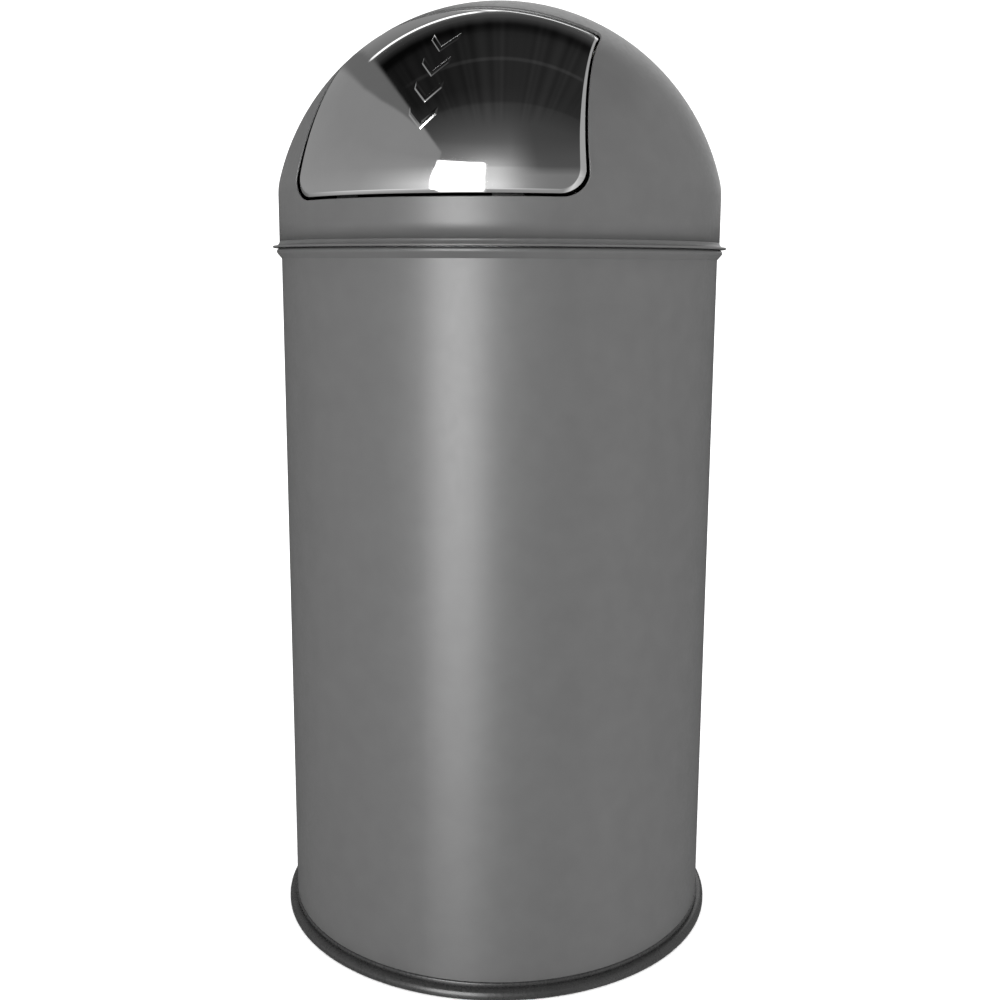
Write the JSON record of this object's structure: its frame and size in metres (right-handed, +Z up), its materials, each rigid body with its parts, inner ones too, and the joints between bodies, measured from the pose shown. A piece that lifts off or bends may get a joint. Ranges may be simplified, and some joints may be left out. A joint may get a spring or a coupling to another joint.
{
  "type": "dome top waste bin",
  "caption": "Round steel waste bin with a domed head, a spring-closed chromed push flap, a lift-out liner and a black plastic foot ring",
  "frame": {"origin": "middle of the foot's underside, on the floor", "axes": "+Z up along the body's axis; the flap faces -Y; +X to the right of someone who looks along +Y at the flap"},
  "size_m": [0.3636, 0.3636, 0.7444],
  "materials": {
    "powder_coat": "satin grey powder coat",
    "chrome": "mirror polished chrome",
    "black_plastic": "black, soft sheen",
    "galvanised": "galvanised, faint spangle",
    "zinc": "zinc plated",
    "spring_steel": "bright spring wire",
    "black_rubber": "matt",
    "nylon": "natural nylon",
    "black_coat": "thin black electro-coat"
  },
  "bodies": {
    "bin": {"body_shell": "powder_coat", "rim_wire": "zinc", "base_plate": "galvanised", "base_ring": "black_plastic"},
    "liner": {"liner_shell": "galvanised", "liner_bottom": "galvanised", "liner_rim_wire": "zinc", "handle_bracket_left": "zinc", "handle_bracket_right": "zinc", "liner_rivets": "zinc"},
    "left_handle": {"handle_left": "zinc"},
    "right_handle": {"handle_right": "zinc"},
    "head": {"dome_shell": "powder_coat", "dome_collar": "galvanised", "axle_bracket_left": "zinc", "axle_bracket_right": "zinc", "hinge_axle": "zinc", "axle_clips": "spring_steel", "spring_left": "spring_steel", "spring_right": "spring_steel"},
    "flap": {"flap_panel": "chrome", "flap_ear_left": "zinc", "flap_ear_right": "zinc", "flap_bushes": "nylon", "stop_tabs": "black_coat", "stop_buffers": "black_rubber"}
  },
  "joints": [
    {"name": "head_lift", "type": "slide", "parent": "bin", "child": "head", "axis": [0, 0, 1], "range_m": [0, 0.75]},
    {"name": "liner_lift", "type": "slide", "parent": "bin", "child": "liner", "axis": [0, 0, 1], "range_m": [0, 0.6]},
    {"name": "flap_push", "type": "hinge", "parent": "head", "child": "flap", "pos_m": [0, -0.04541, 0.69727], "axis": [1, 0, 0], "range_deg": [0, 50], "stiffness_Nm_per_rad": 0.5, "springref_deg": -60.16, "deforming": ["spring_left", "spring_right"]},
    {"name": "right_handle_swing", "type": "hinge", "parent": "liner", "child": "right_handle", "pos_m": [0.15592, 0, 0.488], "axis": [0, 1, 0], "range_deg": [0, 170]},
    {"name": "left_handle_swing", "type": "hinge", "parent": "liner", "child": "left_handle", "pos_m": [-0.15592, 0, 0.488], "axis": [0, -1, 0], "range_deg": [0, 170]}
  ],
  "couplings": [
    {"joint": "liner_lift", "follows": "head_lift", "ratio": 0.8}
  ]
}
